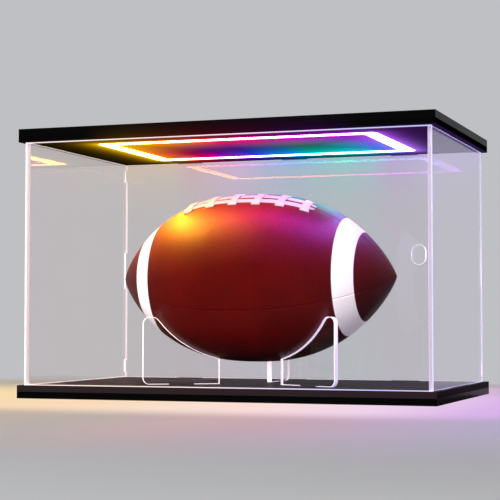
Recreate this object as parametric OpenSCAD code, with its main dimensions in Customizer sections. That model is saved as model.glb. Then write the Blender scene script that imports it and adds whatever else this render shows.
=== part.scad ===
// Football display case: clear walls between a black base and a black lighted top,
// a sliding front door, a stand of three clear plates, and a leather football on it.
// Frame: origin under the middle of the case, +X right, +Y back, +Z up, millimetres.

/* [Case] */
// Width of the base and top slabs
case_w = 410; // [400:1:440]
// Depth of the base and top slabs
case_d = 242; // [238:1:280]
// Height of the whole case
case_h = 260; // [256:1:300]
// Thickness of the clear walls
wall_t = 4; // [3:0.5:5]
// How far the walls stand in from the slab edges
wall_inset = 5; // [4:0.5:8]

/* [Base] */
// Thickness of the rubber feet
foot_t = 0.5; // [0.5:0.5:2]
// Diameter of the rubber feet
foot_d = 14; // [10:1:20]
// Thickness of the lower base board
plate_t = 6.5; // [4:0.5:7]
// Thickness of the upper base board and of the ceiling board
board_t = 6; // [5:0.5:7]

/* [Top] */
// Thickness of the cover over the ceiling board
cover_t = 6.8; // [6.8:0.2:9]

/* [Door] */
// Depth of the grooves that the door slides in
groove_depth = 3.5; // [2.5:0.25:4]
// Clearance of the door in its grooves, each side
door_gap = 0.3; // [0.2:0.05:0.5]
// Width of the finger hole
finger_w = 12.5; // [10:0.5:15]
// Height of the finger hole
finger_h = 17.5; // [16:0.5:26]

/* [Light] */
// Length of the light loop along X
loop_w = 282; // [260:1:300]
// Length of the light loop along Y
loop_d = 163; // [150:1:172]
// Width of the light loop's band
loop_band = 15; // [12:1:18]
// Distance between lamps along the tape
lamp_pitch = 16.6; // [15:0.1:33]

/* [Stand] */
// Thickness of the stand plates
stand_t = 5; // [4:0.5:6]
// Distance from the stand's middle to each plate's inner edge
stand_in = 37.5; // [34:0.5:44]
// Distance from the middle to the front plates' outer edge
stand_out = 113; // [110:1:118]
// Distance from the middle to the back plate's outer edge
stand_out_back = 100; // [98:1:108]
// Height of the plates over the base
stand_h = 65.5; // [62:0.5:68]

/* [Ball] */
// Length of the ball
ball_l = 284; // [276:1:288]
// Diameter of the ball at its middle
ball_d = 164.6; // [160:0.2:168]
// How far the lace seam is turned from the top towards the front, in degrees
lace_turn = 23; // [0:1:40]
// Thickness of the leather panels
leather_t = 3; // [2:0.5:4]

/* [Hidden] */
$fn = 64;

// Levels
plate_z = foot_t;                          // underside of the lower base board
board_z = plate_z + plate_t;               // underside of the upper base board
floor_z = board_z + board_t;               // the case's floor
cover_z = case_h - cover_t;                // underside of the top cover
ceiling_z = cover_z - board_t;             // the case's ceiling

// Walls, given by their outer faces
wall_x = case_w / 2 - wall_inset;
wall_y = case_d / 2 - wall_inset;
door_y = -wall_y;                          // the door's front face
side_front_y = door_y + wall_t + door_gap; // the side walls' front edges, behind the door

// Wall tabs
side_tab_l = 40;                           // length of a side wall's tab
side_tab_y = [-60, 60];                    // middles of the side walls' tabs
back_tab_l = 30;                           // length of a rear wall's tab
back_tab_x = [-120, 0, 120];               // middles of the rear wall's tabs
top_tab = 4.5;                             // how far tabs go up into the ceiling board
// Corner fingers of the rear wall: [distance of the middle from the wall's middle, length]
corner_fingers = [[-105, 13], [0, 40], [105, 13]];
wall_mid_z = (floor_z + ceiling_z) / 2;

// Door
groove_w = wall_t + 2 * door_gap;
door_bottom = floor_z - groove_depth + door_gap;
door_top = ceiling_z + groove_depth - 2 * door_gap;
finger_x = 188;                            // middle of the finger hole
finger_z = 133;

// Light loop and its channel
channel_depth = 4.5;
diffuser_t = 1.5;
loop_outer_r = 8;
loop_inner_r = 3;
tape_w = 8;
tape_t = 0.4;
lamp_size = 5;
lamp_h = 1.6;
lamp_line_w = loop_w - loop_band;          // the loop's middle line
lamp_line_d = loop_d - loop_band;
tape_z = ceiling_z + channel_depth - tape_t;

// Electronics at the back of the top cover
pocket_x = [4, 60];
pocket_y = [64, 118];
pocket_h = 4.6;
pcb_x = [8, 56];
pcb_y = [90, 117];
pcb_t = 1;
pcb_top = cover_z + pcb_t;
usb_x = 22;
usb_w = 9;
usb_h = 3.3;
usb_l = 7.4;
usb_wall = 0.3;
button_x = 44;
button_w = 7;
button_h = 3;
button_l = 4;
button_travel = 0.8;
button_gap = 0.25;
button_z = pcb_top + 0.1 + button_h / 2;   // its middle, just clear of the circuit board
lead_x = [27, 30, 33, 36];
lead_d = 1.2;
lead_z = pcb_top + lead_d / 2;             // the leads lie on the circuit board

// Stand
stand_y = -8;                              // the middle of stand and ball
stand_corner = 6.5;
stand_top = floor_z + stand_h;
stand_tab = [62, 88];                      // from the middle, start and end of a plate's tab
seat_end = 96;                             // where a front plate leaves the ball
seat_end_back = 70;                        // where the back plate leaves the ball
seat_gap = 0.4;                            // from the plates up to the ball
crest_w = 7;                               // how far a plate's crest takes to level out

// Ball: an outline of revolution about X, blunt in the middle and pointed at its ends
ball_z = 117;
half_l = ball_l / 2;
half_d = ball_d / 2;
blunt = 2.48;
point = 0.844;
bladder_gap = 0.4;
bladder_t = 0.9;
strap_pitch = 23.8;
strap_w = 8;
strap_half = 14.5;                         // half length of a cross lace, mm along the skin
strip_half_l = 67;                         // half length of the lace strips
strip_w = 7;
strip_seam_gap = 2.5;                      // from the seam to a strip's inner edge
lace_mid_x = 2;
strip_t = 1.2;
lace_lift = 0.05;                          // keeps the strips clear of the skin's flat facets
strap_t = 1.4;
valve_x = -30;
valve_d = 7;
valve_r = [78.1, 80.5];                    // the valve's inner and outer ends, from the ball's axis

// Radius of an outline of revolution of half length l and half diameter r, at x
function outline_r(x, l, r) = r * pow(max(0, 1 - pow(abs(x) / l, blunt)), point);
// Height of the ball's underside at a place on the floor, measured from the ball's middle
function under_z(x, y) = ball_z - sqrt(max(0, pow(outline_r(x, half_l, half_d), 2) - y * y));
// The lowest of it across a stand plate's thickness, at distance r along the plate
function seat_z(r, a) = min([for (e = [-1, 0, 1] * stand_t / 2)
    under_z(r * cos(a) - e * sin(a), r * sin(a) + e * cos(a))]) - seat_gap;
// Outline points of revolution, from end to end, closer together towards the points
function skin(l, r) = [for (t = [-90:6:90]) [outline_r(l * sin(t), l, r), l * sin(t)]];
function reversed(v) = [for (i = [len(v) - 1:-1:0]) v[i]];
function arc(cx, cy, r, from, to, n = 6) =
    [for (i = [0:n]) let (t = from + (to - from) * i / n) [cx + r * cos(t), cy + r * sin(t)]];

// A block given by its limits along each axis
module block(x, y, z) {
    translate([x[0], y[0], z[0]]) cube([x[1] - x[0], y[1] - y[0], z[1] - z[0]]);
}
function around(mid, length) = [mid - length / 2, mid + length / 2];
function side_x(side) = side > 0 ? [wall_x - wall_t, wall_x] : [-wall_x, wall_t - wall_x];

module rounded_rectangle(w, d, r) {
    square([w - 2 * r, d], center = true);
    square([w, d - 2 * r], center = true);
    for (sx = [-1, 1], sy = [-1, 1]) translate([sx * (w / 2 - r), sy * (d / 2 - r)]) circle(r);
}
module loop_outline(w, d, band, outer_r, inner_r) {
    difference() {
        rounded_rectangle(w, d, outer_r);
        rounded_rectangle(w - 2 * band, d - 2 * band, inner_r);
    }
}

// Places for the walls' tabs, between two levels
module wall_tabs(z) {
    for (side = [-1, 1], y = side_tab_y) block(side_x(side), around(y, side_tab_l), z);
    for (x = back_tab_x) block(around(x, back_tab_l), [wall_y - wall_t, wall_y], z);
}
// The door's groove between two levels, open at the right-hand edge
module door_groove(z) {
    block([-wall_x - door_gap, case_w / 2 + 1],
        [door_y - door_gap, door_y - door_gap + groove_w], z);
}
module slab(z) {
    block([-case_w / 2, case_w / 2], [-case_d / 2, case_d / 2], z);
}

module base_board() color("#16161a") difference() {
    slab([board_z, floor_z]);
    wall_tabs([board_z - 1, floor_z + 1]);
    door_groove([floor_z - groove_depth, floor_z + 1]);
    for (a = [-30, 90, 210]) stand_place(a)
        block(stand_tab, [-stand_t / 2, stand_t / 2], [board_z - 1, floor_z + 1]);
}
module base_plate() color("#16161a") slab([plate_z, board_z]);
module feet() color("#202020") for (sx = [-1, 1], sy = [-1, 1])
    translate([sx * (case_w / 2 - 22), sy * (case_d / 2 - 22), 0]) cylinder(h = foot_t, d = foot_d);

module side_panel(side) color("#e8dde0") difference() {
    union() {
        block(side_x(side), [side_front_y, wall_y], [floor_z, ceiling_z]);
        for (y = side_tab_y)
            block(side_x(side), around(y, side_tab_l), [board_z, ceiling_z + top_tab]);
    }
    for (f = corner_fingers)
        block([side * wall_x - wall_t - 1, side * wall_x + wall_t + 1], [wall_y - wall_t, wall_y + 1],
            around(wall_mid_z + f[0], f[1]));
}
module left_panel() side_panel(-1);
module right_panel() side_panel(1);
module back_panel() color("#e8dde0") {
    block([wall_t - wall_x, wall_x - wall_t], [wall_y - wall_t, wall_y], [floor_z, ceiling_z]);
    for (x = back_tab_x) block(around(x, back_tab_l), [wall_y - wall_t, wall_y],
        [board_z, ceiling_z + top_tab]);
    for (f = corner_fingers) block([-wall_x, wall_x], [wall_y - wall_t, wall_y],
        around(wall_mid_z + f[0], f[1]));
}

module ceiling_board() color("#16161a") difference() {
    slab([ceiling_z, cover_z]);
    wall_tabs([ceiling_z - 1, ceiling_z + top_tab]);
    door_groove([ceiling_z - 1, ceiling_z + groove_depth]);
    translate([0, 0, ceiling_z - 1]) linear_extrude(channel_depth + 1)
        loop_outline(loop_w, loop_d, loop_band, loop_outer_r, loop_inner_r);
    for (x = lead_x) translate([x, lamp_line_d / 2, ceiling_z]) cylinder(h = board_t + 1, d = 2);
}
module top_cover() color("#1b1b1d") difference() {
    slab([cover_z, case_h]);
    block(pocket_x, pocket_y, [cover_z - 1, cover_z + pocket_h]);
    block(around(usb_x, usb_w + 0.4), [pocket_y[1] - 1, case_d / 2 + 1],
        [pcb_top - 0.2, pcb_top + usb_h + 0.2]);
    block(around(button_x, button_w + 2 * button_gap), [pocket_y[1] - 1, case_d / 2 + 1],
        around(button_z, button_h + 2 * button_gap));
}

module led_diffuser() color("#fff6f0") translate([0, 0, ceiling_z]) linear_extrude(diffuser_t)
    loop_outline(loop_w, loop_d, loop_band, loop_outer_r, loop_inner_r);
module led_tape() color("#f4f4f0") translate([0, 0, tape_z]) linear_extrude(tape_t)
    loop_outline(lamp_line_w + tape_w, lamp_line_d + tape_w, tape_w, loop_outer_r - 3, 1);
module lamp() translate([-lamp_size / 2, -lamp_size / 2, tape_z - lamp_h])
    cube([lamp_size, lamp_size, lamp_h]);
module led_packages() color("#fffbe8") {
    along_x = floor(lamp_line_w / lamp_pitch) - 1;
    along_y = floor(lamp_line_d / lamp_pitch) - 1;
    for (side = [-1, 1]) {
        for (i = [-along_x / 2:along_x / 2])
            translate([i * lamp_pitch, side * lamp_line_d / 2, 0]) lamp();
        for (i = [-along_y / 2:along_y / 2])
            translate([side * lamp_line_w / 2, i * lamp_pitch, 0]) lamp();
    }
}
module led_leads() color("#b02020") for (x = lead_x) {
    translate([x, lamp_line_d / 2, tape_z + tape_t]) cylinder(h = lead_z - tape_z - tape_t, d = lead_d);
    translate([x, lamp_line_d / 2, lead_z]) sphere(d = lead_d);
    translate([x, lamp_line_d / 2, lead_z]) rotate([-90, 0, 0])
        cylinder(h = pcb_y[0] + 4 - lamp_line_d / 2, d = lead_d);
}
module controller_board() color("#1d6b3a") block(pcb_x, pcb_y, [cover_z, pcb_top]);
module controller_parts() color("#303030") {
    block([12, 17], [97, 101], [pcb_top, pcb_top + 1.3]);    // control chip
    block([46, 50], [96, 99], [pcb_top, pcb_top + 1.1]);     // regulator
    for (x = lead_x) translate([x, 98, pcb_top]) cylinder(h = 1, d = 2);    // lead resistors
    translate([52.5, 93.5, pcb_top]) cylinder(h = 3.2, d = 4);    // capacitor
}
module usb_socket() color("#c8c8cc") {
    y = case_d / 2 - 0.6 - usb_l;
    difference() {
        block(around(usb_x, usb_w), [y, y + usb_l], [pcb_top, pcb_top + usb_h]);
        block(around(usb_x, usb_w - 2 * usb_wall), [y + 1.5, y + usb_l + 1],
            [pcb_top + usb_wall, pcb_top + usb_h - usb_wall]);
    }
    block(around(usb_x, usb_w - 2.4), [y + 1, y + usb_l - 1], around(pcb_top + usb_h / 2, 0.7));
}
module button_switch() color("#303038") {
    back = case_d / 2 - button_l - button_travel - 0.4;
    block(around(button_x, 6), [back - 4, back - 0.8], [pcb_top, pcb_top + button_h]);
    block(around(button_x, 2.4), [back - 1, back], around(button_z, 1.4));
}
module mode_button() color("#3a3a3e") {
    r = button_h / 2;
    translate([button_x, case_d / 2, button_z]) rotate([90, 0, 0]) {
        for (side = [-1, 1]) translate([side * (button_w / 2 - r), 0, 0])
            cylinder(h = button_l, r = r);
        translate([-button_w / 2 + r, -r, 0]) cube([button_w - 2 * r, button_h, button_l]);
    }
}

module front_door() color("#f2e9ec") difference() {
    block([-wall_x, wall_x], [door_y, door_y + wall_t], [door_bottom, door_top]);
    for (side = [-1, 1])
        translate([finger_x, door_y - 1, finger_z + side * (finger_h - finger_w) / 2])
            rotate([-90, 0, 0]) cylinder(h = wall_t + 2, d = finger_w);
    block(around(finger_x, finger_w), [door_y - 1, door_y + wall_t + 1],
        around(finger_z, finger_h - finger_w));
}

module stand_place(a) translate([0, stand_y, 0]) rotate([0, 0, a]) children();
// One radial plate: its top edge follows the ball, then rounds over a crest to its outer edge
module stand_plate(a, out, seat) {
    seat_top = seat_z(seat, a);
    outline = concat(
        [for (i = [0:16]) let (r = stand_in + (seat - stand_in) * i / 16) [r, seat_z(r, a)]],
        [for (i = [1:6]) let (u = i / 6)
            [seat + crest_w * u, seat_top + (stand_top - seat_top) * u * (2 - u)]],
        arc(out - stand_corner, stand_top - stand_corner, stand_corner, 90, 0),
        arc(out - stand_corner, floor_z + stand_corner, stand_corner, 0, -90),
        [[stand_tab[1], floor_z], [stand_tab[1], board_z], [stand_tab[0], board_z],
            [stand_tab[0], floor_z], [stand_in, floor_z]]);
    color("#e8dde0") stand_place(a) rotate([90, 0, 0])
        translate([0, 0, -stand_t / 2]) linear_extrude(stand_t) polygon(outline);
}
module stand_plate_front_left() stand_plate(210, stand_out, seat_end);
module stand_plate_front_right() stand_plate(-30, stand_out, seat_end);
module stand_plate_back() stand_plate(90, stand_out_back, seat_end_back);

// Turns a shape made about Z, with the lace seam on +X, to the ball's own place
module on_ball() translate([0, stand_y, ball_z]) rotate([0, 90, 0])
    rotate([0, 0, 180 + lace_turn]) children();
// A quarter of the leather shell, starting a number of quarters on from the lace seam
module ball_panel(quarter) color("#5a1414") on_ball() rotate([0, 0, 90 * quarter])
    rotate_extrude(angle = 90) polygon(concat(skin(half_l, half_d),
        reversed(skin(half_l - leather_t, half_d - leather_t))));
module ball_panel_lace_front() ball_panel(0);
module ball_panel_under_front() difference() {
    ball_panel(1);
    valve_place() cylinder(h = half_d + 5, d = valve_d);
}
module ball_panel_under_back() ball_panel(2);
module ball_panel_lace_back() ball_panel(3);
module ball_bladder() color("#202020") on_ball() rotate_extrude() polygon(concat(
    skin(half_l - leather_t - bladder_gap, half_d - leather_t - bladder_gap),
    reversed(skin(half_l - leather_t - bladder_gap - bladder_t,
        half_d - leather_t - bladder_gap - bladder_t))));

// A patch that follows the skin between two places along the ball and two angles,
// with its bottom and top given as heights over the skin
module skin_patch(x, a, h) {
    n = ceil((x[1] - x[0]) / 6);
    places = [for (i = [0:n]) x[0] + (x[1] - x[0]) * i / n];
    rotate([0, 0, a[0]]) rotate_extrude(angle = a[1] - a[0]) polygon(concat(
        [for (u = places) [outline_r(u, half_l, half_d) + h[0], u]],
        [for (u = reversed(places)) [outline_r(u, half_l, half_d) + h[1], u]]));
}
function skin_angle(length) = length / half_d * 180 / PI;
module ball_lace_strips() color("#f2f0ec") on_ball() {
    inner = skin_angle(strip_seam_gap);
    outer = skin_angle(strip_seam_gap + strip_w);
    for (side = [[inner, outer], [-outer, -inner]])
        skin_patch([lace_mid_x - strip_half_l, lace_mid_x + strip_half_l], side, [lace_lift, strip_t]);
}
module ball_lace_straps() color("#f2f0ec") on_ball() for (i = [-2.5:2.5]) {
    x = lace_mid_x + i * strap_pitch;
    skin_patch(around(x, strap_w), [-skin_angle(strap_half), skin_angle(strap_half)],
        [strip_t, strip_t + strap_t]);
}
// Turns a shape made about Z to stand on the ball's axis at the valve
module valve_place() on_ball() rotate([0, 0, 135]) translate([0, 0, valve_x])
    rotate([0, 90, 0]) children();
module ball_valve() color("#101010") difference() {
    valve_place() translate([0, 0, valve_r[0]]) cylinder(h = valve_r[1] - valve_r[0], d = valve_d);
    valve_place() translate([0, 0, valve_r[0] + 0.9]) cylinder(h = 3, d = 1.6);
}

base_board();
base_plate();
feet();
left_panel();
right_panel();
back_panel();
ceiling_board();
top_cover();
led_diffuser();
led_tape();
led_packages();
led_leads();
controller_board();
controller_parts();
usb_socket();
button_switch();
stand_plate_front_left();
stand_plate_front_right();
stand_plate_back();
front_door();
mode_button();
ball_panel_lace_front();
ball_panel_lace_back();
ball_panel_under_front();
ball_panel_under_back();
ball_bladder();
ball_lace_strips();
ball_lace_straps();
ball_valve();
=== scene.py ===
# %% [markdown]
# # A lit display case with a football in it
# The case is a clear acrylic box between a black base and a black top. A ring of coloured
# light in the ceiling shines down on a leather football, which lies on three clear plates.
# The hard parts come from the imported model: the boards and the parts inside stay as they
# are, and the clear sheets are copied and given chamfers. This lesson gives them materials,
# and models the soft-looking parts, the football's leather and its laces, again with more
# detail than a machine drawing needs.

# %% Load the frame
import math
import bpy
from mathutils import Matrix, Vector


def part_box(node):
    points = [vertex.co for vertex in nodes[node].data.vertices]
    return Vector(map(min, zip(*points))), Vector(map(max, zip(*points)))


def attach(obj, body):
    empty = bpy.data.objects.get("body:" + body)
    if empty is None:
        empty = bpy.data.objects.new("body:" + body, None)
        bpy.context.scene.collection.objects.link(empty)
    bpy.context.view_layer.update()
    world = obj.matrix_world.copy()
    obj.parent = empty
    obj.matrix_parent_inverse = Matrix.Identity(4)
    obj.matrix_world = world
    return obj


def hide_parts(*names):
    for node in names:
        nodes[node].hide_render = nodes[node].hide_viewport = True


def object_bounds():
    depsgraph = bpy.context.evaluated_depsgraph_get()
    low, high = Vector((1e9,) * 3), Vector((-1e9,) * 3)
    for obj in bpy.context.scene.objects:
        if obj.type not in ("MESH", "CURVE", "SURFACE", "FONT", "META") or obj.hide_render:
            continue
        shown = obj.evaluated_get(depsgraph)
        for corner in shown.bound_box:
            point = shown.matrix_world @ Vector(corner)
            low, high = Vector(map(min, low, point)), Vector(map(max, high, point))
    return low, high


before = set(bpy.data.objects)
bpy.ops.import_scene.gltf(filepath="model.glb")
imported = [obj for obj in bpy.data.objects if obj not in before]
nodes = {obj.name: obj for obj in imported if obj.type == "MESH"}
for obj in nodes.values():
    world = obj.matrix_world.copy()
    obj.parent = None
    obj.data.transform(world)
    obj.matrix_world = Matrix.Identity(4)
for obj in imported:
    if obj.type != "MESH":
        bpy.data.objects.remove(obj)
cad_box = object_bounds()
MM = 0.001
print("loaded", len(nodes), "nodes, case box", [round(v, 3) for corner in cad_box for v in corner])

# %% [markdown]
# ## Helpers
# Colours are written the way a painter's chart gives them, as sRGB hex, and one function
# turns them into the linear numbers that Blender's shaders want. One small function adds a
# shader node with its settings and its links, so each material below reads as a short list.
# Inputs given as a list go to the sockets in their order: a map range takes the value, the
# range that it comes from, and the range that it goes to.

# %% Colours and nodes
def srgb(code):
    """A hex colour as linear red, green, blue and full alpha."""
    parts = [int(code[i:i + 2], 16) / 255 for i in (1, 3, 5)]
    linear = [p / 12.92 if p <= 0.04045 else ((p + 0.055) / 1.055) ** 2.4 for p in parts]
    return (*linear, 1.0)


def add_node(tree, kind, inputs=(), stops=(), **settings):
    """Adds a shader node. inputs is a list, or a dictionary by a socket's name or number.

    An input is a value, an output that feeds the socket, or a node whose first output does.
    stops are a colour ramp's (place, hex colour) pairs.
    """
    node = tree.nodes.new("ShaderNode" + kind)
    for name, value in settings.items():
        setattr(node, name, value)
    for key, value in inputs.items() if isinstance(inputs, dict) else enumerate(inputs):
        if isinstance(value, bpy.types.Node):
            value = value.outputs[0]
        if isinstance(value, bpy.types.NodeSocket):
            tree.links.new(value, node.inputs[key])
        else:
            node.inputs[key].default_value = value
    if stops:
        elements = node.color_ramp.elements
        while len(elements) < len(stops):
            elements.new(0.5)
        for element, (place, code) in zip(elements, stops):
            element.position = place
            element.color = srgb(code)
    return node


def new_material(name):
    """An empty material and its node tree."""
    material = bpy.data.materials.new(name)
    material.use_nodes = True
    material.node_tree.nodes.clear()
    return material, material.node_tree


def object_place(tree):
    """A point's x, y and z on the piece in metres, and the three together."""
    place = add_node(tree, "TexCoord").outputs["Object"]
    split = add_node(tree, "SeparateXYZ", [place])
    return (*split.outputs, place)


print("#808080 is", round(srgb("#808080")[0], 3), "in linear light")

# %% [markdown]
# ## Camera
# The case is seen from a little to the right of its front, with the eye near the height of
# the ball's lower half. A long lens keeps the case's edges almost parallel. The camera and
# its angles are set once here and nothing below depends on them.

# %% Camera
CAMERA_AT = Vector((0.4909, -1.4050, 0.0744))
CAMERA_TURN = math.radians(19.64)
CAMERA_RISE = math.radians(2.72)
CAMERA_LENS = 107.9
SENSOR_WIDTH = 36.0

camera_data = bpy.data.cameras.new("camera")
camera_data.lens = CAMERA_LENS
camera_data.sensor_width = SENSOR_WIDTH
camera_data.clip_start = 10 * MM
camera = bpy.data.objects.new("camera", camera_data)
camera.location = CAMERA_AT
camera.rotation_euler = (math.radians(90) + CAMERA_RISE, 0.0, CAMERA_TURN)
bpy.context.scene.collection.objects.link(camera)
bpy.context.scene.camera = camera
case_middle = (cad_box[0] + cad_box[1]) / 2
print("camera", round((CAMERA_AT - case_middle).length, 3), "m from the case's middle")

# %% [markdown]
# ## Studio
# The room is a pale floor that runs out to the horizon under an even grey light. The lit case
# throws a pool of coloured light on the floor around it, pale and bright beside the base and
# with a longer, duller tail. It isn't traced light: the floor's own material paints it, from
# each place's distance to the base. One helper measures how far a place is past a rectangle.

# %% Distance from a rectangle, and rays that come from a mirror image
def past_rectangle(tree, x, y, half_x, half_y):
    """How far a place is past a rectangle's two sides, and its distance from the rectangle."""
    past = []
    squares = []
    for part, half_side in ((x, half_x), (y, half_y)):
        size = add_node(tree, "Math", [part], operation="ABSOLUTE")
        past.append(add_node(tree, "Math", [size, half_side], operation="SUBTRACT"))
        outside = add_node(tree, "Math", [past[-1], 0.0], operation="MAXIMUM")
        squares.append(add_node(tree, "Math", [outside, 2.0], operation="POWER"))
    total = add_node(tree, "Math", squares, operation="ADD")
    return past, add_node(tree, "Math", [total], operation="SQRT")


def mirror_ray(tree, ray):
    """1 for what is seen in a mirror image, 0 for what is looked at or only gives light."""
    no_diffuse = add_node(tree, "Math", [ray.outputs["Diffuse Depth"], 0.5], operation="LESS_THAN")
    mirrored = add_node(tree, "Math", [ray.outputs["Glossy Depth"], 0.5], operation="GREATER_THAN")
    return add_node(tree, "Math", [no_diffuse, mirrored], operation="MULTIPLY")


HALF_WIDTH = cad_box[1].x
HALF_DEPTH = cad_box[1].y
print("case", round(2 * HALF_WIDTH, 3), "by", round(2 * HALF_DEPTH, 3), "m on the floor")

# %% [markdown]
# ### Floor
# Matt floor paint has no gloss at all, so it is a plain diffuse shader. Its grey darkens a
# little towards the front, which is painted shade. The pool and its tail lie over it, and far
# away it fades into the sky's own grey, so no horizon shows. In the object's mirror images the
# front of the floor is drawn dark, which keeps the sheets clear to look through.

# %% Studio floor
bpy.context.scene.view_settings.view_transform = "Standard"
FLOOR_SIZE = 30.0
FLOOR_GREYS = [(0.0, "#69696a"), (1.0, "#787879")]
SKY_COLOUR = "#bfc0c3"
POOL_HALF_WIDTH = 0.36
POOL_COLOURS = [(0.0, "#f8e0a8"), (0.35, "#fcdcba"), (0.48, "#fce2d0"), (0.59, "#fcdfda"),
                (0.72, "#f2d6ee"), (0.85, "#dcb6ec"), (1.0, "#d8aaf2")]
TAIL_COLOURS = [(0.0, "#c8b8a0"), (0.48, "#c0b2ac"), (0.6, "#d0aeb0"), (0.7, "#cca8b6"),
                (0.81, "#c2aac8"), (0.92, "#b6accc")]
# Each wash of light: its colours, where it starts to fade and ends, and how thick it is.
WASHES = [(TAIL_COLOURS, 0.2, 0.62, 0.85), (POOL_COLOURS, 0.09, 0.22, 0.95)]

bpy.ops.object.select_all(action="DESELECT")
bpy.ops.mesh.primitive_plane_add(size=FLOOR_SIZE, location=(0, 0, 0))
floor = bpy.context.object
floor.name = "studio_floor"
material, tree = new_material("matt_floor_paint")
x, y, _, _ = object_place(tree)
past, from_base = past_rectangle(tree, x, y, HALF_WIDTH, HALF_DEPTH)
# Painted shade: the floor's grey darkens from near the case out towards the front.
towards_case = add_node(tree, "MapRange", [y, -0.85, -0.4])
paint_grey_and_shade = add_node(tree, "ValToRGB", [towards_case], stops=FLOOR_GREYS)
washed = add_node(tree, "BsdfDiffuse", {"Color": paint_grey_and_shade})
across = add_node(tree, "Math", [x, 0.5 / POOL_HALF_WIDTH, 0.5], operation="MULTIPLY_ADD",
    use_clamp=True)
in_front = add_node(tree, "MapRange", [y, -0.05, 0.2, 1.0, 0.55], interpolation_type="SMOOTHSTEP")
for colours, fade_start, fade_end, thickness in WASHES:
    fade = add_node(tree, "MapRange", [from_base, fade_start, fade_end, thickness, 0.0],
        interpolation_type="SMOOTHSTEP")
    wash_part = add_node(tree, "Math", [fade, in_front], operation="MULTIPLY")
    wash_colour = add_node(tree, "ValToRGB", [across], stops=colours)
    wash = add_node(tree, "Emission", {"Color": wash_colour})
    washed = add_node(tree, "MixShader", [wash_part, washed, wash])

# %% The floor's far end and its mirror image
haze = add_node(tree, "Emission", {"Color": srgb(SKY_COLOUR)})
past_back = add_node(tree, "Math", [y, HALF_DEPTH], operation="SUBTRACT")
behind_case = add_node(tree, "Math", [past_back, 0.0], operation="MAXIMUM")
far = add_node(tree, "Math", [behind_case, 2.0, from_base], operation="MULTIPLY_ADD")
away = add_node(tree, "MapRange", [far, 0.42, 0.9, 0.0, 1.0], interpolation_type="SMOOTHSTEP")
faded = add_node(tree, "MixShader", [away, washed, haze])
dark = add_node(tree, "Emission", {"Color": srgb("#2a2628")})
front_part = add_node(tree, "Math", [y, 0.1], operation="LESS_THAN")
in_mirror = mirror_ray(tree, add_node(tree, "LightPath"))
front_mirror = add_node(tree, "Math", [in_mirror, front_part], operation="MULTIPLY")
surface = add_node(tree, "MixShader", [front_mirror, faded, dark])
add_node(tree, "OutputMaterial", {"Surface": surface})
floor.data.materials.append(material)
print("studio floor", FLOOR_SIZE, "m across")

# %% [markdown]
# ### Sky
# The sky does three jobs. Where it is looked at, also through clear sheets, it is an even
# grey. As a lamp, it shines mostly from above and behind and is dim in front, so that the
# black slabs stay black. In mirror images it is dark in front and grey behind, as a studio
# with one lit backdrop is.

# %% Studio sky
world = bpy.data.worlds.new("studio_sky")
bpy.context.scene.world = world
world.use_nodes = True
tree = world.node_tree
tree.nodes.clear()
direction = add_node(tree, "TexCoord").outputs["Generated"]
_, back, up = add_node(tree, "SeparateXYZ", [direction]).outputs
behind = add_node(tree, "MapRange", [back, -0.9, 0.3, 0.05, 0.28], interpolation_type="SMOOTHSTEP")
above = add_node(tree, "MapRange", [up, 0.3, 0.9, 0.0, 0.3], interpolation_type="SMOOTHSTEP")
lamp_light = add_node(tree, "Math", [behind, above], operation="ADD")
backdrop = add_node(tree, "MapRange", [back, 0.0, 0.5, 0.02, 1.0], interpolation_type="SMOOTHSTEP")
overhead = add_node(tree, "MapRange", [up, 0.2, 0.8, 0.0, 0.4], interpolation_type="SMOOTHSTEP")
mirror_light = add_node(tree, "Math", [backdrop, overhead], operation="MAXIMUM")
lighting = add_node(tree, "Background", [srgb("#ffffff"), lamp_light])
mirror = add_node(tree, "Background", [srgb(SKY_COLOUR), mirror_light])
seen = add_node(tree, "Background", [srgb(SKY_COLOUR), 1.0])
ray = add_node(tree, "LightPath")
bounces = add_node(tree, "Math", [ray.outputs["Diffuse Depth"], ray.outputs["Glossy Depth"]],
    operation="ADD")
no_bounce = add_node(tree, "Math", [bounces, 0.5], operation="LESS_THAN")
through_clear = add_node(tree, "Math", [ray.outputs["Is Transmission Ray"], no_bounce],
    operation="MULTIPLY")
looked_at = add_node(tree, "Math", [ray.outputs["Is Camera Ray"], through_clear],
    operation="MAXIMUM")
unseen = add_node(tree, "MixShader", [mirror_ray(tree, ray), lighting, mirror])
sky = add_node(tree, "MixShader", [looked_at, unseen, seen])
add_node(tree, "OutputWorld", {"Surface": sky})
print("sky", SKY_COLOUR)

# %% [markdown]
# ### Soft lights
# A large soft light stands in front, to the left and above the eye, to bring out the
# football through the clear door. A weaker one behind shows the leather from the back. Both
# are left out of mirror images and of what shows through the sheets, because a bright square
# in the polished acrylic would hide what is behind it.

# %% Two soft lights
SOFTBOX_SIZE = 1.3
LIGHTS_AIM = Vector((0, 0, 0.12))
SOFTBOXES = {"key_light": (Vector((-0.35, -1.75, 0.75)), 90.0),
             "back_light": (Vector((0.25, 1.3, 1.3)), 45.0)}

for name, (light_at, watts) in SOFTBOXES.items():
    light_data = bpy.data.lights.new(name, "AREA")
    light_data.shape = "SQUARE"
    light_data.size = SOFTBOX_SIZE
    light_data.energy = watts
    light = bpy.data.objects.new(name, light_data)
    light.location = light_at
    light.rotation_euler = (LIGHTS_AIM - light_at).to_track_quat("-Z", "Y").to_euler()
    light.visible_glossy = False
    light.visible_transmission = False
    bpy.context.scene.collection.objects.link(light)
    print(name, round(light_at.length, 2), "m away,", watts, "W")

# %% [markdown]
# ## The colours of the light ring
# The ring is a flexible strip of coloured lamps behind a band of opal acrylic. Its colour
# changes along its length, so the colour is worked out from a point's place: one set of
# colours along the front run, one along the back run, and a blend between them at the ends.
# The same colours are used for the glow that the ring throws on the black ceiling.

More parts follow.
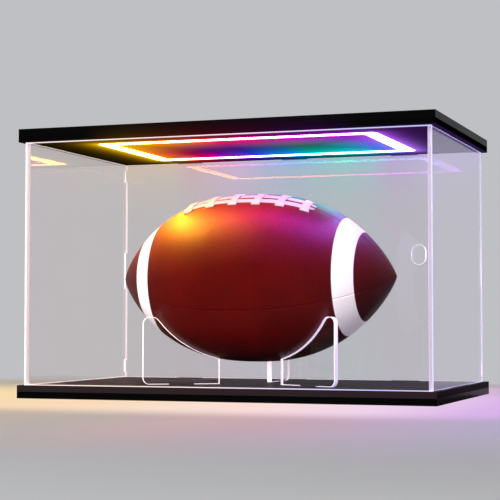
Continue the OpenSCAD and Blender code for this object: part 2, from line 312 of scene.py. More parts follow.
# %% Ring colours by place
ring_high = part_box("led_diffuser")[1]
tape_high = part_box("led_tape")[1]
BAND_INSET = 5 * MM
RING_HALF_X = (tape_high.x + ring_high.x) / 2 - BAND_INSET
RING_HALF_Y = (tape_high.y + ring_high.y) / 2 - BAND_INSET
FRONT_COLOURS = [(0.0, "#ffc400"), (0.14, "#ffb000"), (0.28, "#ff7c10"), (0.42, "#ff2048"),
                 (0.56, "#e00084"), (0.72, "#b800c0"), (0.88, "#a820e0"), (1.0, "#b050f8")]
BACK_COLOURS = [(0.0, "#ffc400"), (0.08, "#ff7820"), (0.20, "#f00058"), (0.30, "#a000c0"),
                (0.42, "#3040ff"), (0.54, "#0098ff"), (0.66, "#00d0b0"), (0.78, "#10d8e8"),
                (0.90, "#6080ff"), (1.0, "#b070ff")]


def along_ring(tree, x):
    """How far along the case a place is: 0 at the ring's left end, 1 at its right end."""
    return add_node(tree, "Math", [x, 0.5 / ring_high.x, 0.5], operation="MULTIPLY_ADD",
        use_clamp=True)


def ring_colour(tree, x, y):
    """The ring's colour at a place: front and back runs, blended across the middle."""
    along = along_ring(tree, x)
    front = add_node(tree, "ValToRGB", [along], stops=FRONT_COLOURS)
    back = add_node(tree, "ValToRGB", [along], stops=BACK_COLOURS)
    towards_back = add_node(tree, "MapRange", [y, -0.8 * ring_high.y, 0.3 * ring_high.y],
        interpolation_type="SMOOTHSTEP")
    mixed = add_node(tree, "Mix", {0: towards_back, 6: front, 7: back}, data_type="RGBA")
    return mixed.outputs[2]


def ring_distance(tree, x, y, half_band):
    """Metres from a place on the ceiling to a band of that half width along the ring."""
    past, outside = past_rectangle(tree, x, y, RING_HALF_X, RING_HALF_Y)
    nearest_side = add_node(tree, "Math", past, operation="MAXIMUM")
    inside = add_node(tree, "Math", [nearest_side, 0.0], operation="MINIMUM")
    signed = add_node(tree, "Math", [outside, inside], operation="ADD")
    from_middle = add_node(tree, "Math", [signed], operation="ABSOLUTE")
    past_band = add_node(tree, "Math", [from_middle, half_band], operation="SUBTRACT")
    return add_node(tree, "Math", [past_band, 0.0], operation="MAXIMUM")


print("ring", round(2 * ring_high.x, 3), "m long")

# %% [markdown]
# ## Clear cast acrylic
# Cast acrylic is clear to the eye, bends light, and shows faint mirror images of the ring.
# Its broad faces are a bare dielectric. Real acrylic's index of refraction is 1.49, and a
# lower one is used here to keep the mirror images faint. Lamps must light what is behind a
# sheet, so for shadow rays the same material is simply transparent.

# %% Shadow rays pass through
CLEAR_IOR = 1.28
BASE_TOP_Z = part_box("base_board")[1].z
CEILING_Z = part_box("ceiling_board")[0].z


def finish_clear(tree, shader, tint):
    """Ends a clear material: lamps shine through it in this tint, and the eye sees the shader."""
    passing = add_node(tree, "BsdfTransparent", {"Color": srgb(tint)})
    ray = add_node(tree, "LightPath")
    mixed = add_node(tree, "MixShader", [ray.outputs["Is Shadow Ray"], shader, passing])
    add_node(tree, "OutputMaterial", {"Surface": mixed})


print("inside height", round(CEILING_Z - BASE_TOP_Z, 3), "m")

# %% [markdown]
# ### Broad faces
# Light that travels inside a sheet leaves it where the sheet enters a black board, and gives
# the eye a thin bright line there. Under the ceiling the rear and side walls also have a faint
# coloured haze that thins out downwards. Line and haze are drawn from the place alone, and
# neither is traced light.

# %% Faces of clear sheet
HAZE_REACH = 24 * MM
LINE_FULL = 0.4 * MM
LINE_END = 1.0 * MM
HAZE_COLOURS = [(0.0, "#edcb99"), (0.08, "#f7a4ab"), (0.28, "#ebaaff"), (0.38, "#a0b8ff"),
                (0.5, "#50c0fc"), (0.6, "#18d7e4"), (0.7, "#00e5e6"), (0.8, "#6fcbf0"),
                (0.88, "#bc8bf9"), (1.0, "#c4b4ff")]
EDGE_COLOURS = [(0.0, "#ffe8e4"), (0.1, "#fff0d8"), (0.3, "#ffe4e0"), (0.55, "#ffe8f6"),
                (0.8, "#e0d8ff"), (1.0, "#c8ccff")]


def clear_acrylic(name, line=0.0, haze_top=0.0, haze_all=0.0):
    """A broad face, which may have a bright line at the boards and haze that thins downwards."""
    material, tree = new_material(name)
    x, _, z, _ = object_place(tree)
    along = along_ring(tree, x)
    inputs = {"Base Color": srgb("#fefcfd"), "Roughness": 0.0, "IOR": CLEAR_IOR,
              "Transmission Weight": 1.0}
    if line:
        gaps = []
        for board_z in (BASE_TOP_Z, CEILING_Z):
            over = add_node(tree, "Math", [z, board_z], operation="SUBTRACT")
            gaps.append(add_node(tree, "Math", [over], operation="ABSOLUTE"))
        gap = add_node(tree, "Math", gaps, operation="MINIMUM")
        inputs["Emission Color"] = add_node(tree, "ValToRGB", [along], stops=EDGE_COLOURS)
        inputs["Emission Strength"] = add_node(tree, "MapRange", [gap, LINE_FULL, LINE_END, line, 0.0])
    sheet = add_node(tree, "BsdfPrincipled", inputs)
    if haze_top:
        height = add_node(tree, "Math", [z, CEILING_Z], operation="SUBTRACT")
        below = add_node(tree, "Math", [height, HAZE_REACH], operation="DIVIDE")
        fading = add_node(tree, "Math", [below], operation="EXPONENT")
        thick = add_node(tree, "Math", [fading, haze_top, haze_all], operation="MULTIPLY_ADD")
        haze = add_node(tree, "Emission", [add_node(tree, "ValToRGB", [along], stops=HAZE_COLOURS)])
        sheet = add_node(tree, "MixShader", [thick, sheet, haze])
    finish_clear(tree, sheet, "#fdf8fb")
    return material


plain_face = clear_acrylic("clear_cast_acrylic")
back_face = clear_acrylic("clear_cast_acrylic_back", haze_top=0.22, haze_all=0.02)
side_face = clear_acrylic("clear_cast_acrylic_side", line=0.5, haze_top=0.03, haze_all=0.02)
door_face = clear_acrylic("clear_cast_acrylic_door", line=0.6)
print("clear faces", [face.name for face in (plain_face, back_face, side_face, door_face)])

# %% [markdown]
# ### Sawn edges
# A sawn edge is frosted, and the light that is caught inside the sheet leaves through it, so
# every edge reads as a pale line. That light is drawn as a weak glow and isn't traced, and
# each edge has its own strength and clearness.

# %% Edges of clear sheet
SAW_SCALE = 900.0


def sawn_edge(name, strength, clearness):
    """The edge of a clear sheet, frosted by the saw and lit from within."""
    material, tree = new_material(name)
    x, _, _, place = object_place(tree)
    glow = add_node(tree, "ValToRGB", [along_ring(tree, x)], stops=EDGE_COLOURS)
    saw = add_node(tree, "TexNoise", {"Vector": place, "Scale": SAW_SCALE, "Detail": 2.0})
    rough = add_node(tree, "MapRange", [saw, 0.0, 1.0, 0.25, 0.5])
    edge = add_node(tree, "BsdfPrincipled", {
        "Base Color": srgb("#f4f0f4"), "Roughness": rough, "IOR": CLEAR_IOR,
        "Transmission Weight": clearness, "Emission Color": glow, "Emission Strength": strength})
    finish_clear(tree, edge, "#ffffff")
    return material


wall_edge = sawn_edge("sawn_acrylic_edge", 0.22, 0.75)
front_edge = sawn_edge("sawn_acrylic_edge_front", 0.1, 0.75)
hole_edge = sawn_edge("sawn_acrylic_edge_hole", 0.2, 0.6)
door_edge = sawn_edge("sawn_acrylic_edge_door", 0.6, 0.35)
stand_edge = sawn_edge("sawn_acrylic_edge_stand", 0.6, 0.45)
print("saw marks about", round(1 / SAW_SCALE / MM, 1), "mm apart")

# %% [markdown]
# ### Sheets with broken edges
# A sheet that leaves the saw has its sharp edges broken by a scraper, and that small chamfer
# is what catches the light all round a clear sheet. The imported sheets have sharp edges, so a
# copy of each one is merged, cleaned of its loose triangles and given the chamfer.

# %% One clear sheet
CHAMFER = 0.5 * MM
FACE_SLOT, EDGE_SLOT, FRONT_SLOT, HOLE_SLOT = range(4)
AXIS_X = Vector((1, 0, 0))
AXIS_Y = Vector((0, 1, 0))


def polished_sheet(name, node, across, body, face, edge, front):
    """A copy of a packed sheet with chamfered edges, clear across one axis and bright round its edge."""
    bpy.ops.object.select_all(action="DESELECT")
    sheet = bpy.data.objects.new(name, nodes[node].data.copy())
    bpy.context.scene.collection.objects.link(sheet)
    bpy.context.view_layer.objects.active = sheet
    sheet.select_set(True)
    bpy.ops.object.mode_set(mode="EDIT")
    bpy.ops.mesh.select_all(action="SELECT")
    bpy.ops.mesh.remove_doubles(threshold=0.01 * MM)
    bpy.ops.mesh.dissolve_limited(angle_limit=math.radians(1))
    bpy.ops.object.mode_set(mode="OBJECT")
    sheet_front = min(vertex.co.y for vertex in sheet.data.vertices)
    chamfer = sheet.modifiers.new("chamfer", "BEVEL")
    chamfer.width = CHAMFER
    chamfer.segments = 1
    chamfer.limit_method = "ANGLE"
    chamfer.angle_limit = math.radians(50)
    bpy.ops.object.modifier_apply(modifier=chamfer.name)
    sheet.data.materials.clear()
    for material in (face, edge, front):
        sheet.data.materials.append(material)
    for polygon in sheet.data.polygons:
        polygon.use_smooth = False
        polygon.material_index = FACE_SLOT if abs(polygon.normal.dot(across)) > 0.9 else EDGE_SLOT
        if polygon.material_index and polygon.center.y < sheet_front + 1.5 * CHAMFER:
            polygon.material_index = FRONT_SLOT
    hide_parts(node)
    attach(sheet, body)
    return sheet


print("chamfer", CHAMFER / MM, "mm")

# %% [markdown]
# ### The walls, the door and the stand
# The four sheets of the box come first. The rim of the door's finger hole glows less than
# the door's outer edge, so it gets a material of its own. It is every edge face that lies
# well inside the door's outline.
# The three plates of the stand are set 120 degrees apart around the ball.

# %% All clear sheets
HOLE_MARGIN = 12 * MM
STAND_TURNS = {"front_left": 210, "front_right": -30, "back": 90}

sheets = [
    polished_sheet("left_wall_sheet", "left_panel", AXIS_X, "case", side_face, wall_edge, front_edge),
    polished_sheet("right_wall_sheet", "right_panel", AXIS_X, "case", side_face, wall_edge, front_edge),
    polished_sheet("back_wall_sheet", "back_panel", AXIS_Y, "case", back_face, wall_edge, wall_edge),
    polished_sheet("door_sheet", "front_door", AXIS_Y, "door", door_face, door_edge, door_edge),
]
door_sheet = sheets[-1]
door_sheet.data.materials.append(hole_edge)
for polygon in door_sheet.data.polygons:
    inside_x = abs(polygon.center.x) < HALF_WIDTH - HOLE_MARGIN
    inside_z = BASE_TOP_Z + HOLE_MARGIN < polygon.center.z < CEILING_Z - HOLE_MARGIN
    if polygon.material_index and inside_x and inside_z:
        polygon.material_index = HOLE_SLOT
for side_name, turn in STAND_TURNS.items():
    along_plate = math.radians(turn)
    across_plate = Vector((-math.sin(along_plate), math.cos(along_plate), 0))
    sheets.append(polished_sheet("stand_sheet_" + side_name, "stand_plate_" + side_name,
        across_plate, "case", plain_face, stand_edge, stand_edge))
print("clear sheets", [(sheet.name, len(sheet.data.polygons)) for sheet in sheets])

# %% [markdown]
# ## Black acrylic and the glowing ceiling
# The base and the top are black cast acrylic, polished but handled, so the gloss is broken by
# a faint grain of fine scratches. Under the ring the ceiling catches its spilled light, and a
# little of it reaches the slab's front. That spill isn't traced: it is drawn from the place
# alone, and fades slowly inside the ring and within a short way outside it.

# %% Light spilled by the ring
RING_HALF_BAND = 7.5 * MM
GLOW_REACH_INSIDE = 42 * MM
GLOW_REACH_OUTSIDE = 9 * MM
FAR_GLOW_LEFT = 0.006
FAR_GLOW_RIGHT = 0.05
FRONT_SPILL = 0.05
SPILL_REACH = 6 * MM
SKIN = 0.5 * MM


def ring_spill(tree, x, y, z, glow):
    """How brightly a place on the top slab glows, on its underside and on its front."""
    size_x = add_node(tree, "Math", [x], operation="ABSOLUTE")
    size_y = add_node(tree, "Math", [y], operation="ABSOLUTE")
    within_x = add_node(tree, "Math", [size_x, RING_HALF_X], operation="LESS_THAN")
    within_y = add_node(tree, "Math", [size_y, RING_HALF_Y], operation="LESS_THAN")
    within = add_node(tree, "Math", [within_x, within_y], operation="MULTIPLY")
    reach = add_node(tree, "Math", [within, GLOW_REACH_INSIDE - GLOW_REACH_OUTSIDE,
        GLOW_REACH_OUTSIDE], operation="MULTIPLY_ADD")
    gap = ring_distance(tree, x, y, RING_HALF_BAND)
    away = add_node(tree, "Math", [gap, -1.0], operation="MULTIPLY")
    fall = add_node(tree, "Math", [away, reach], operation="DIVIDE")
    fade = add_node(tree, "Math", [fall], operation="EXPONENT")
    far = add_node(tree, "MapRange", [x, -ring_high.x, ring_high.x, FAR_GLOW_LEFT, FAR_GLOW_RIGHT])
    total = add_node(tree, "Math", [fade, glow, far], operation="MULTIPLY_ADD")
    underside = add_node(tree, "Math", [z, CEILING_Z + SKIN], operation="LESS_THAN")
    below = add_node(tree, "Math", [total, underside], operation="MULTIPLY")
    depth = add_node(tree, "Math", [CEILING_Z, z], operation="SUBTRACT")
    rise = add_node(tree, "Math", [depth, SPILL_REACH], operation="DIVIDE")
    rising = add_node(tree, "Math", [rise], operation="EXPONENT")
    beside_ring = add_node(tree, "MapRange", [size_x, 0.6 * ring_high.x, ring_high.x,
        FRONT_SPILL, 0.0], interpolation_type="SMOOTHSTEP")
    spilled = add_node(tree, "Math", [rising, beside_ring], operation="MULTIPLY")
    front = add_node(tree, "Math", [y, cad_box[0].y + SKIN], operation="LESS_THAN")
    on_front = add_node(tree, "Math", [spilled, front], operation="MULTIPLY")
    return add_node(tree, "Math", [below, on_front], operation="MAXIMUM")


print("glow reaches", GLOW_REACH_INSIDE / MM, "mm inside the ring")

# %% [markdown]
# ### The four black boards
# All four are the same sheet, with a lowered index of refraction for the same faint mirror
# images. The two inner boards are seen at a low angle, where even a weak gloss mirrors the
# pale backdrop as a grey veil, so theirs is turned far down. The base's upper board is a very
# dark grey and not a full black, so that the ring's light shows on it.

# %% Black boards
BLACK_IOR = 1.12
SCRATCH_SCALE = 260.0


def black_acrylic(name, colour, gloss, specular, glow=None):
    """Black sheet. With a glow, even of 0, it also shows the light that the ring spills."""
    material, tree = new_material(name)
    x, y, z, place = object_place(tree)
    scratches = add_node(tree, "TexNoise", {"Vector": place, "Scale": SCRATCH_SCALE, "Detail": 6.0})
    rough = add_node(tree, "MapRange", [scratches, 0.0, 1.0, gloss, gloss + 0.12])
    inputs = {"Base Color": srgb(colour), "Roughness": rough, "IOR": BLACK_IOR,
              "Specular IOR Level": specular}
    if glow is not None:
        inputs["Emission Color"] = ring_colour(tree, x, y)
        inputs["Emission Strength"] = ring_spill(tree, x, y, z, glow)
    board = add_node(tree, "BsdfPrincipled", inputs)
    add_node(tree, "OutputMaterial", {"Surface": board})
    return material


def coat(material, *names):
    """Gives CAD nodes one material."""
    for name in names:
        nodes[name].data.materials.clear()
        nodes[name].data.materials.append(material)
    print(material.name, "on", ", ".join(names))


coat(black_acrylic("black_cast_acrylic", "#030303", 0.2, 0.22), "base_plate")
coat(black_acrylic("black_cast_acrylic_top", "#030303", 0.2, 0.22, glow=0.0), "top_cover")
coat(black_acrylic("black_cast_acrylic_floor", "#1a1416", 0.26, 0.012), "base_board")
coat(black_acrylic("black_cast_acrylic_ceiling", "#030303", 0.3, 0.0002, glow=1.05), "ceiling_board")

# %% [markdown]
# ## Opal diffuser
# The band under the lamps is opal acrylic, milky enough to hide the single lamps. It is lit
# so strongly that its middle burns out towards white and only its rim keeps the colour. That
# white is for the eye: the light that it gives to other things, and its mirror images, keep
# nearly the full colour. Its yellow end is 3.5 times as strong as the rest.

# %% Opal diffuser
LAMP_STRENGTH = 56.0
YELLOW_END = 3.5
WHITE_LIGHT = 0.05
WHITE_CORE = 0.65
CORE_HALF = 2.0 * MM
RIM_HALF = 7.0 * MM

material, tree = new_material("opal_acrylic_lit")
x, y, _, _ = object_place(tree)
ray = add_node(tree, "LightPath")
no_diffuse = add_node(tree, "Math", [ray.outputs["Diffuse Depth"], 0.5], operation="LESS_THAN")
not_mirror = add_node(tree, "Math", [1.0, mirror_ray(tree, ray)], operation="SUBTRACT")
looked_at = add_node(tree, "Math", [no_diffuse, not_mirror], operation="MULTIPLY")
white_part = add_node(tree, "Math", [looked_at, WHITE_CORE - WHITE_LIGHT, WHITE_LIGHT],
    operation="MULTIPLY_ADD")
core = add_node(tree, "MapRange", [ring_distance(tree, x, y, 0.0), CORE_HALF, RIM_HALF,
    white_part, 0.0], interpolation_type="SMOOTHSTEP")
lit = add_node(tree, "Mix", {0: core, 6: ring_colour(tree, x, y), 7: srgb("#ffffff")},
    data_type="RGBA")
lamps = add_node(tree, "MapRange", [x, -ring_high.x, -0.1 * ring_high.x,
    LAMP_STRENGTH * YELLOW_END, LAMP_STRENGTH], interpolation_type="SMOOTHSTEP")
opal = add_node(tree, "BsdfPrincipled", {
    "Base Color": srgb("#f6f0ee"), "Roughness": 0.35, "IOR": 1.49,
    "Emission Color": lit.outputs[2], "Emission Strength": lamps})
add_node(tree, "OutputMaterial", {"Surface": opal})
coat(material, "led_diffuser")

# %% [markdown]
# ## Small parts and parts inside
# The tape, its lamps, the leads, the controller and the ball's bladder show only when the
# case or the ball is taken apart. The feet, the power socket and the mode button show from
# below or behind. All of them are given plastics, metals and rubber that such parts are
# usually made of. They are moulded, stamped or printed, so one function gives each a colour,
# a gloss and a fine grain.

# %% Plain moulded and stamped finishes
GRAIN_DEPTH = 0.1 * MM
ROUGH_SPREAD = 0.06


def plain_finish(name, colour, roughness, grain_mm, metallic=0.0, bump=0.1, glow=0.0,
        glow_colour=None):
    """A moulded, stamped or printed finish with a fine grain of the given size."""
    material, tree = new_material(name)
    place = object_place(tree)[-1]
    grain = add_node(tree, "TexNoise", {"Vector": place, "Scale": 1 / (grain_mm * MM), "Detail": 3.0})
    rough = add_node(tree, "MapRange", [grain, 0.0, 1.0, roughness - ROUGH_SPREAD,
        roughness + ROUGH_SPREAD])
    relief = add_node(tree, "Bump", {"Strength": bump, "Distance": GRAIN_DEPTH, "Height": grain})
    inputs = {"Base Color": srgb(colour), "Roughness": rough, "Metallic": metallic,
              "Normal": relief}
    if glow:
        inputs["Emission Color"] = srgb(glow_colour or colour)
        inputs["Emission Strength"] = glow
    finish = add_node(tree, "BsdfPrincipled", inputs)
    add_node(tree, "OutputMaterial", {"Surface": finish})
    return material


# Silicone and butyl rubber are both dull, with hardly a highlight.
coat(plain_finish("moulded_silicone_rubber", "#1c1c1d", 0.75, 0.6), "feet")
coat(plain_finish("butyl_bladder_rubber", "#161414", 0.7, 1.2), "ball_bladder", "ball_valve")
# The circuit tape is white, and its lamps are covered in a yellowish resin that glows.
coat(plain_finish("white_flex_circuit", "#eceae2", 0.45, 0.8), "led_tape")
coat(plain_finish("lamp_epoxy_resin", "#fff2c8", 0.25, 0.5, glow=2.0), "led_packages")
# The leads are slightly waxy, the board's green lacquer is glossy and the chips are matt.
coat(plain_finish("pvc_lead_insulation", "#a82424", 0.4, 0.5), "led_leads")
coat(plain_finish("solder_masked_fibreglass", "#155a32", 0.3, 1.0), "controller_board")
coat(plain_finish("black_moulding_epoxy", "#1b1b1e", 0.55, 0.3), "controller_parts", "button_switch")
# The socket's shell is bright plated steel, and the button a satin dark plastic.
coat(plain_finish("stamped_nickelled_steel", "#c4c4c8", 0.28, 0.4, metallic=1.0), "usb_socket")
coat(plain_finish("abs_button_cap", "#2b2b2e", 0.4, 0.4), "mode_button")

# %% [markdown]
# ## The football's shape
# A football is four leather panels sewn inside out and turned, so each seam is a soft valley
# where two panels roll inwards. The body is not a plain ellipsoid: it is fuller in the middle
# and runs to blunt points. Each panel could be bent from a flat sheet, but a quarter of a
# sphere already has the right rings of points. The sphere is cut to a quarter, given extra
# lines beside the seams, and every ring is then drawn in or out to the ball's own outline.

# %% Ball outline
panel_names = ["ball_panel_lace_front", "ball_panel_under_front", "ball_panel_under_back",
               "ball_panel_lace_back"]
panel_boxes = [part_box(name) for name in panel_names]
ball_low = Vector(map(min, *[low for low, high in panel_boxes]))
ball_high = Vector(map(max, *[high for low, high in panel_boxes]))
BALL_MIDDLE = (ball_low + ball_high) / 2
HALF_LENGTH = (ball_high.x - ball_low.x) / 2
HALF_GIRTH = (ball_high.z - ball_low.z) / 2
BLUNTNESS = 2.48
POINTEDNESS = 0.844
LACE_TURN = math.radians(23)


def outline_radius(x):
    """The ball's radius at a distance x along its axis from the middle."""
    return HALF_GIRTH * max(0.0, 1 - abs(x / HALF_LENGTH) ** BLUNTNESS) ** POINTEDNESS


print("ball", round(2 * HALF_LENGTH, 3), "m long,", round(2 * HALF_GIRTH, 3), "m across")

# %% [markdown]
# ### One leather panel
# The seam lies a little below the skin. The lines that bisect adds beside each cut give the
# leather somewhere to roll over, and the solidify modifier then gives it its thickness. The
# valley fades out near the points, where the panels meet and there is no room for it.

# %% Leather panels
RING_POINTS = 192
RINGS = 96
LEATHER_THICK = 2.8 * MM
SEAM_GAP = 0.1 * MM
SEAM_SHOULDER = 1.5 * MM
SEAM_DEPTH = 0.5 * MM
SEAM_FADE = 12 * MM
SUPPORT_LINES = [0.4 * MM, 0.8 * MM, 1.2 * MM, 1.7 * MM]
TINY = 1e-6


def cut(distance, normal, clear):
    """Bisects what is selected beside the ball's axis, and may throw away the near side."""
    bpy.ops.mesh.select_all(action="SELECT")
    bpy.ops.mesh.bisect(plane_co=normal * distance, plane_no=normal, clear_inner=clear)


def draw_to_outline(point, seam):
    """Where a point of the round sphere goes on the ball, seam metres away from the nearest seam."""
    latitude = math.asin(max(-1.0, min(1.0, point.x / HALF_GIRTH)))
    x = HALF_LENGTH * math.sin(latitude)
    radius = outline_radius(x)
    roll = max(0.0, 1 - seam / SEAM_SHOULDER) ** 2
    sink = SEAM_DEPTH * roll * min(1.0, radius / SEAM_FADE)
    scale = (radius - sink) / max(math.hypot(point.y, point.z), TINY)
    return BALL_MIDDLE + Vector((x, point.y * scale, point.z * scale))


def leather_panel(name, quarter, stands_for):
    """A quarter of the ball, starting a number of quarters round from the lace seam."""
    bpy.ops.object.select_all(action="DESELECT")
    bpy.ops.mesh.primitive_uv_sphere_add(segments=RING_POINTS, ring_count=RINGS, radius=1.0)
    panel = bpy.context.object
    panel.name = name
    half_step = math.pi / RING_POINTS
    panel.data.transform(Matrix.Rotation(math.pi / 2, 4, "Y") @ Matrix.Rotation(half_step, 4, "Z"))
    panel.data.transform(Matrix.Scale(HALF_GIRTH, 4))
    start = LACE_TURN + quarter * math.pi / 2
    seam_normals = (Vector((0, -math.cos(start), -math.sin(start))),
                    Vector((0, -math.sin(start), math.cos(start))))
    bpy.ops.object.mode_set(mode="EDIT")
    for normal in seam_normals:
        cut(SEAM_GAP, normal, True)
        for line in SUPPORT_LINES:
            cut(line, normal, False)
    bpy.ops.object.mode_set(mode="OBJECT")
    for vertex in panel.data.vertices:
        seam = min(vertex.co.dot(normal) for normal in seam_normals)
        vertex.co = draw_to_outline(vertex.co, seam)
    wall = panel.modifiers.new("thickness", "SOLIDIFY")
    wall.thickness = LEATHER_THICK
    wall.offset = -1.0
    bpy.ops.object.modifier_apply(modifier=wall.name)
    bpy.ops.object.shade_smooth_by_angle(angle=math.radians(50))
    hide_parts(stands_for)
    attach(panel, "ball")
    return panel


panels = [leather_panel("leather_" + name.removeprefix("ball_"), i, name)
          for i, name in enumerate(panel_names)]
print("leather panels", [len(panel.data.polygons) for panel in panels], "faces")

# %% [markdown]
# ### Pebbled leather
# Football leather is cowhide tanned dark and embossed with pebbles under two millimetres
# wide. The pebbles are cells of a Voronoi pattern, rounded, with a finer pore
# noise over them. The hide's red drifts slowly from place to place. The valleys between
# pebbles and the slot under the laces, where no light gets in, are darkened with painted shade.

# %% Hide colour and painted shade
PEBBLE = 1.7 * MM
PORE = 0.5 * MM
PATCH = 45 * MM
LACE_MIDDLE = 2 * MM
STRIP_HALF = 67 * MM
STRIP_SEAM_GAP = 2.5 * MM
SLOT_DARKNESS = 0.97

material, tree = new_material("pebbled_cowhide")
x, y, z, place = object_place(tree)
pebbles = add_node(tree, "TexVoronoi", {"Vector": place, "Scale": 1 / PEBBLE, "Randomness": 0.9},
    feature="SMOOTH_F1")
pores = add_node(tree, "TexNoise", {"Vector": place, "Scale": 1 / PORE, "Detail": 3.0})
patches = add_node(tree, "TexNoise", {"Vector": place, "Scale": 1 / PATCH, "Detail": 4.0})
hide = add_node(tree, "ValToRGB", [patches], stops=[(0.3, "#440100"), (0.7, "#4e0201")])
# Painted shade in the valleys between pebbles: the hide's colour falls to 0.6 there.
valley_shade = add_node(tree, "MapRange", [pebbles, 0.35, 0.75, 1.0, 0.6])
from_x, from_y, from_z = [add_node(tree, "Math", [part, middle], operation="SUBTRACT")
    for part, middle in zip((x, y, z), BALL_MIDDLE)]
seam_y = add_node(tree, "Math", [from_y, math.cos(LACE_TURN)], operation="MULTIPLY")
across_seam = add_node(tree, "Math", [from_z, math.sin(LACE_TURN), seam_y],
    operation="MULTIPLY_ADD")
beside_seam = add_node(tree, "Math", [across_seam], operation="ABSOLUTE")
# Painted shade in the slot between the lace strips, where no light gets in.
in_slot = add_node(tree, "Math", [beside_seam, STRIP_SEAM_GAP + 0.3 * MM], operation="LESS_THAN")
on_top = add_node(tree, "Math", [z, BALL_MIDDLE.z], operation="GREATER_THAN")
from_lace = add_node(tree, "Math", [from_x, LACE_MIDDLE], operation="SUBTRACT")
from_lace_middle = add_node(tree, "Math", [from_lace], operation="ABSOLUTE")
beside_strips = add_node(tree, "Math", [from_lace_middle, STRIP_HALF - 2 * MM],
    operation="LESS_THAN")
slot_above = add_node(tree, "Math", [in_slot, on_top], operation="MULTIPLY")
under_laces = add_node(tree, "Math", [slot_above, beside_strips], operation="MULTIPLY")
slot_shade = add_node(tree, "Math", [under_laces, -SLOT_DARKNESS, 1.0], operation="MULTIPLY_ADD")
shade = add_node(tree, "Math", [valley_shade, slot_shade], operation="MULTIPLY")
# The hide's colour times the painted shade of the valleys and the slot.
hide_and_painted_shade = add_node(tree, "Mix", {0: 1.0, 6: hide, 7: shade}, data_type="RGBA", blend_type="MULTIPLY")
print("pebbles", PEBBLE / MM, "mm wide")

# %% [markdown]
# ### Painted stripes
# The two white stripes are painted rings, smoother than the leather, and they let the
# pebbles show through. The paint's edge is a little ragged, because it runs into the pores.
# The stripes are also given a weak glow, which keeps them pale in the ring's strong colours.

# %% Stripes, gloss and relief
STRIPE_INNER = 93 * MM
STRIPE_OUTER = 110.5 * MM
STRIPE_HALF = (STRIPE_OUTER - STRIPE_INNER) / 2
STRIPE_GLOW = 0.22
PEBBLE_DEPTH = 0.4 * MM

from_middle = add_node(tree, "Math", [from_x], operation="ABSOLUTE")
past_stripe = add_node(tree, "Math", [from_middle, (STRIPE_INNER + STRIPE_OUTER) / 2],
    operation="SUBTRACT")
from_stripe = add_node(tree, "Math", [past_stripe], operation="ABSOLUTE")
ragged = add_node(tree, "Math", [pores, 0.6 * MM, from_stripe], operation="MULTIPLY_ADD")
painted = add_node(tree, "MapRange", [ragged, STRIPE_HALF + 0.5 * MM, STRIPE_HALF, 0.0, 1.0])
skin_colour = add_node(tree, "Mix", {0: painted, 6: hide_and_painted_shade.outputs[2], 7: srgb("#dededc")},
    data_type="RGBA")
stripe_glow = add_node(tree, "Math", [painted, STRIPE_GLOW], operation="MULTIPLY")
rough_hide = add_node(tree, "Math", [pores, 0.14, 0.46], operation="MULTIPLY_ADD")
skin_rough = add_node(tree, "Mix", {0: painted, 2: rough_hide, 3: 0.45}, data_type="FLOAT")
pore_height = add_node(tree, "Math", [pores, 0.15], operation="MULTIPLY")
grain_height = add_node(tree, "Math", [pebbles, -1.0, pore_height], operation="MULTIPLY_ADD")
relief = add_node(tree, "Bump", {"Strength": 0.4, "Distance": PEBBLE_DEPTH, "Height": grain_height})
leather = add_node(tree, "BsdfPrincipled", {
    "Base Color": skin_colour.outputs[2], "Roughness": skin_rough,
    "Specular IOR Level": 0.5, "Normal": relief,
    "Emission Color": srgb("#f4eef8"), "Emission Strength": stripe_glow})
add_node(tree, "OutputMaterial", {"Surface": leather})
for panel in panels:
    panel.data.materials.append(material)
print("stripes", round(2 * STRIPE_HALF / MM, 1), "mm wide")

# %% [markdown]
# ### Laces
# The lace is a white vinyl cord, pressed flat. Two strips run along the seam with a dark gap
# between them, and six cross laces hold them down, narrow at the waist and wide at the ends.
# Each is modelled flat on the bench, as a grid with thickness and rounded edges, and is then
# laid on the ball by moving its points from (along, across, up) to the skin. The vinyl is
# drawn greyer than it is and given a weak glow, which keeps it white in the ring's colours.

# %% Make a flat bar and lay it on the ball
lace_vinyl = plain_finish("pressed_lace_vinyl", "#969e8c", 0.42, 0.7, bump=0.25, glow=0.2,
    glow_colour="#fff6e8")


def on_ball(x, angle, height):
    """A point over the skin: along the axis, round from the lace seam towards the front, and out."""
    radius = outline_radius(x) + height
    turn = LACE_TURN + angle
    return BALL_MIDDLE + Vector((x, -radius * math.sin(turn), radius * math.cos(turn)))


def flat_bar(name, length, width, rows, columns):
    """A flat grid on the bench, along X, lying across Y."""
    bpy.ops.object.select_all(action="DESELECT")
    bpy.ops.mesh.primitive_grid_add(x_subdivisions=rows, y_subdivisions=columns, size=1.0)
    bar = bpy.context.object
    bar.name = name
    bar.data.transform(Matrix.Diagonal((length, width, 1.0, 1.0)))
    return bar


def thicken(bar, thickness):
    """Gives a flat bar its thickness and rounds its edges."""
    wall = bar.modifiers.new("thickness", "SOLIDIFY")
    wall.thickness = thickness
    wall.offset = 1.0
    bpy.ops.object.modifier_apply(modifier=wall.name)
    rounding = bar.modifiers.new("rounding", "BEVEL")
    rounding.width = 0.35 * thickness
    rounding.segments = 3
    rounding.limit_method = "ANGLE"
    rounding.angle_limit = math.radians(60)
    bpy.ops.object.modifier_apply(modifier=rounding.name)


def finish_lace(bar, stands_for):
    """Smooths a lace, gives it its vinyl and lets it ride with the ball."""
    bpy.context.view_layer.objects.active = bar
    bar.select_set(True)
    bpy.ops.object.shade_smooth_by_angle(angle=math.radians(50))
    bar.data.materials.append(lace_vinyl)
    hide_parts(stands_for)
    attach(bar, "ball")


print("laces are", lace_vinyl.name)

# %% [markdown]
# Each strip tapers to its ends. Its inner edge stays straight, so the dark gap between the
# two strips keeps its width.

# %% Two strips along the seam
STRIP_WIDTH = 7 * MM
STRIP_THICK = 1.0 * MM
STRIP_TAPER = 9 * MM
STRIP_END_WIDTH = 0.35

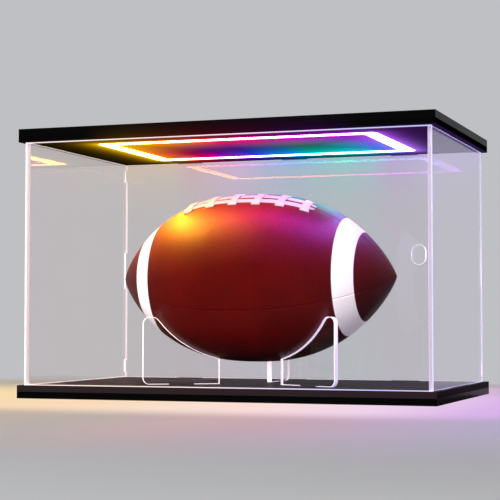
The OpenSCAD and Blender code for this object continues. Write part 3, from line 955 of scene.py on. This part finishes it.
for side, side_name in ((1, "front"), (-1, "back")):
    strip = flat_bar("lace_strip_" + side_name, 2 * STRIP_HALF, STRIP_WIDTH, 60, 4)
    for vertex in strip.data.vertices:
        from_end = STRIP_HALF - abs(vertex.co.x)
        taper = min(1.0, STRIP_END_WIDTH + (1 - STRIP_END_WIDTH) * from_end / STRIP_TAPER)
        inner_edge = -side * STRIP_WIDTH / 2
        vertex.co.y = inner_edge + (vertex.co.y - inner_edge) * taper
    thicken(strip, STRIP_THICK)
    for vertex in strip.data.vertices:
        across = vertex.co.y + side * (STRIP_SEAM_GAP + STRIP_WIDTH / 2)
        vertex.co = on_ball(LACE_MIDDLE + vertex.co.x, across / HALF_GIRTH, vertex.co.z + 0.05 * MM)
    finish_lace(strip, "ball_lace_strips")
print("strips", round(2 * STRIP_HALF / MM), "mm long")

# %% [markdown]
# A cross lace bridges both strips and comes down to the leather on each side, in a smooth
# step at the strips' outer edges.

# %% Six cross laces
STRAP_COUNT = 6
STRAP_PITCH = 23.8 * MM
STRAP_WIDTH = 6.6 * MM
STRAP_FLARE = 1.35
STRAP_HALF = 14.5 * MM
STRAP_THICK = 1.5 * MM
STEP_START = STRIP_SEAM_GAP + STRIP_WIDTH - 0.8 * MM
STEP_LENGTH = 3.2 * MM

for i in range(STRAP_COUNT):
    strap = flat_bar("lace_strap_%d" % (i + 1), 2 * STRAP_HALF, STRAP_WIDTH, 24, 4)
    for vertex in strap.data.vertices:
        reach = abs(vertex.co.x) / STRAP_HALF
        vertex.co.y *= 1 + (STRAP_FLARE - 1) * reach ** 2
    thicken(strap, STRAP_THICK)
    along = LACE_MIDDLE + (i - (STRAP_COUNT - 1) / 2) * STRAP_PITCH
    for vertex in strap.data.vertices:
        across = vertex.co.x
        down = min(1.0, max(0.0, (abs(across) - STEP_START) / STEP_LENGTH))
        smooth = down * down * (3 - 2 * down)
        height = vertex.co.z + STRIP_THICK * (1 - smooth) + 0.1 * MM
        vertex.co = on_ball(along + vertex.co.y, across / HALF_GIRTH, height)
    finish_lace(strap, "ball_lace_straps")
print("cross laces", STRAP_COUNT, "at", round(STRAP_PITCH / MM, 1), "mm")
